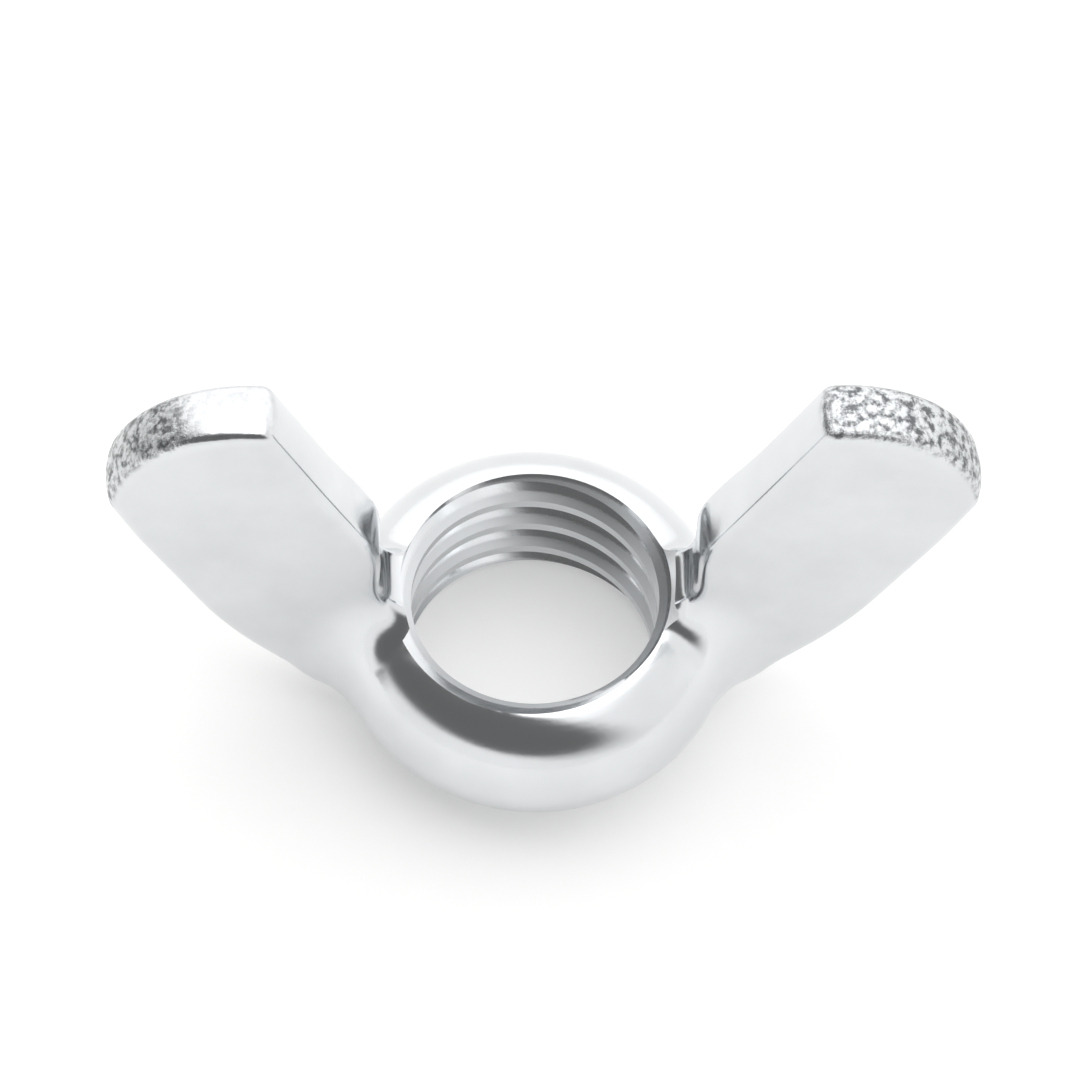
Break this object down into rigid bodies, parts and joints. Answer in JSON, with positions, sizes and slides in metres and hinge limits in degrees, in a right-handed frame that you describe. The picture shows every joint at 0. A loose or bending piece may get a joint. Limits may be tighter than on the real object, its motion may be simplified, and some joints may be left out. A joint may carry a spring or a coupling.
{
  "type": "wing nut",
  "caption": "Forged wing nut: a rounded hub tapped right through, with two flat wings that rise at a steep angle to arched ends, for tightening by hand.",
  "frame": {"origin": "centre of the bearing face, which is also the middle of the bottom of the nut", "axes": "+Z along the thread's axis from the bearing face towards the wing ends, X along the spread of the wings, Y through their thickness"},
  "size_m": [0.0296, 0.0136, 0.0176],
  "materials": {
    "bright_zinc": "bright zinc plating over forged steel"
  },
  "bodies": {
    "root": {"wing_nut": "bright_zinc"}
  },
  "joints": []
}
